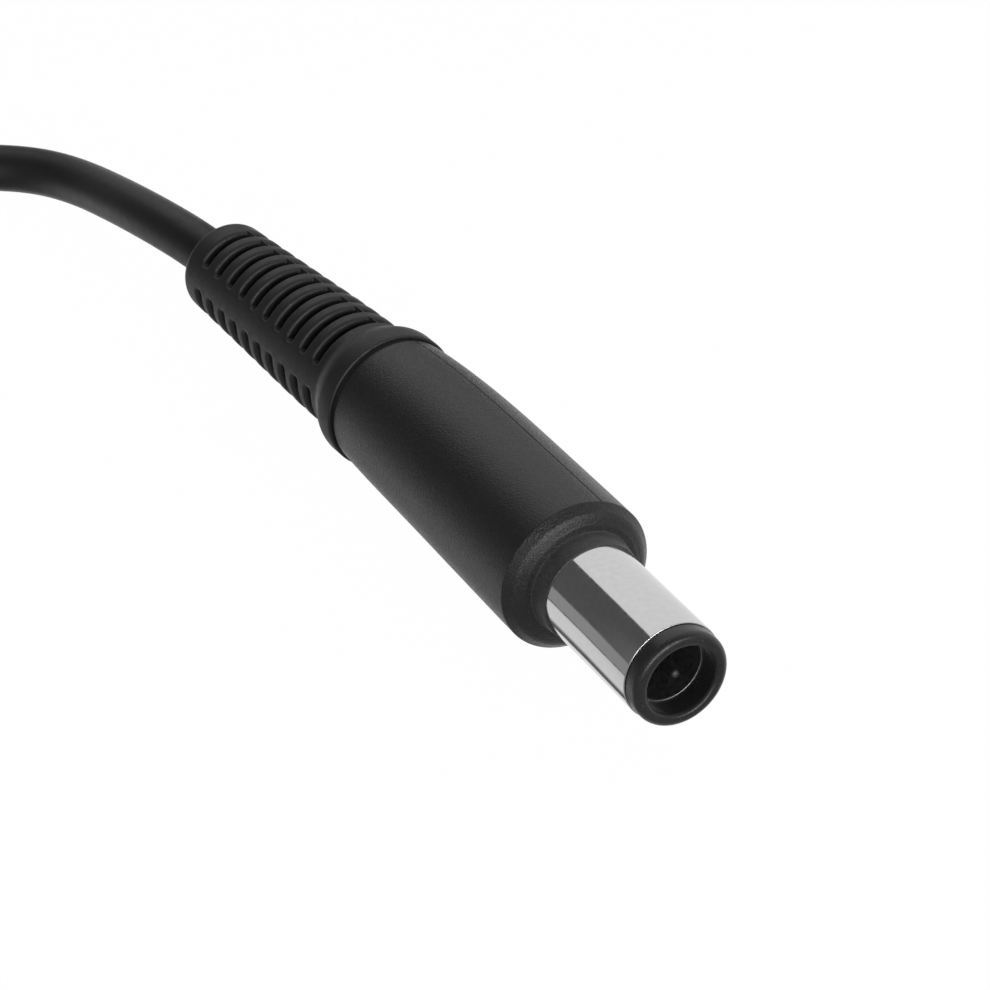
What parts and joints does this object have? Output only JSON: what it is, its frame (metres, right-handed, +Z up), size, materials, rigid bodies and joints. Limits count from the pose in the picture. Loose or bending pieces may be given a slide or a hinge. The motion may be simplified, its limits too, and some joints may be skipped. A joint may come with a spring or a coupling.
{
  "type": "laptop power adapter",
  "caption": "Laptop power adapter: round DC plug with a centre pin and slotted strain relief, thin cord in a tied coil, and a flat brick with a mains inlet.",
  "frame": {"origin": "centre of the brick's footprint, on the table under its feet", "axes": "+Z up; +X along the brick to its mains inlet, the DC cord leaves at -X; the plug lies in front, towards -Y"},
  "size_m": [0.177, 0.1652, 0.03],
  "materials": {
    "nickel": "bright nickel plate, drawn and polished",
    "insulator": "black moulded plastic, satin gloss",
    "grip_rubber": "black moulded rubber with a fine spark-eroded grain",
    "smooth_rubber": "black moulded rubber, smooth and slightly glossy",
    "cord_jacket": "extruded black cord jacket, satin",
    "tie_fabric": "black woven hook-and-loop strap",
    "case_plastic": "black moulded polycarbonate, fine matt grain",
    "inlet_plastic": "black glass-filled nylon, smooth",
    "foot_rubber": "black die-cut rubber, matt",
    "light_guide": "milky clear acrylic",
    "copper": "enamelled copper",
    "tin": "tinned brass, crimped",
    "wire_jacket": "wire insulation",
    "board": "green printed circuit board",
    "sheet_film": "insulating polyester film",
    "component_body": "moulded component body",
    "film_capacitor": "boxed film component",
    "ferrite": "sintered ferrite",
    "capacitor_sleeve": "shrunk sleeve on an aluminium can",
    "winding_tape": "taped winding",
    "sink_aluminium": "folded aluminium sheet"
  },
  "bodies": {
    "root": {"plug_barrel": "nickel", "plug_tip_ring": "insulator", "plug_inner_contact": "nickel", "plug_core_sleeve": "insulator", "plug_pin_bush": "insulator", "plug_centre_pin": "nickel", "plug_inner_mould": "smooth_rubber", "plug_wires": "copper", "plug_cable_ferrule": "tin", "plug_grip": "grip_rubber", "plug_strain_relief": "smooth_rubber", "cord_run": "cord_jacket", "cord_coil": "cord_jacket", "cord_at_brick": "cord_jacket", "cord_tie": "tie_fabric", "cord_gland": "smooth_rubber", "case_base": "case_plastic", "case_lid": "case_plastic", "rubber_feet": "foot_rubber", "mains_inlet": "inlet_plastic", "inlet_pins": "nickel", "light_pipe": "light_guide", "status_led": "light_guide", "circuit_board": "board", "insulation_sheet": "sheet_film", "fuse": "component_body", "thermistor": "component_body", "mains_capacitor": "film_capacitor", "choke_core": "ferrite", "choke_winding": "copper", "bridge_rectifier": "component_body", "bulk_capacitor": "capacitor_sleeve", "transformer_core": "ferrite", "transformer_winding": "winding_tape", "switching_transistor": "component_body", "primary_heatsink": "sink_aluminium", "output_rectifier": "component_body", "secondary_heatsink": "sink_aluminium", "safety_capacitor": "film_capacitor", "optocoupler": "film_capacitor", "control_chip": "component_body", "output_capacitors": "capacitor_sleeve", "output_choke": "copper", "heat_spreader": "sink_aluminium", "output_wires": "wire_jacket"}
  },
  "joints": []
}
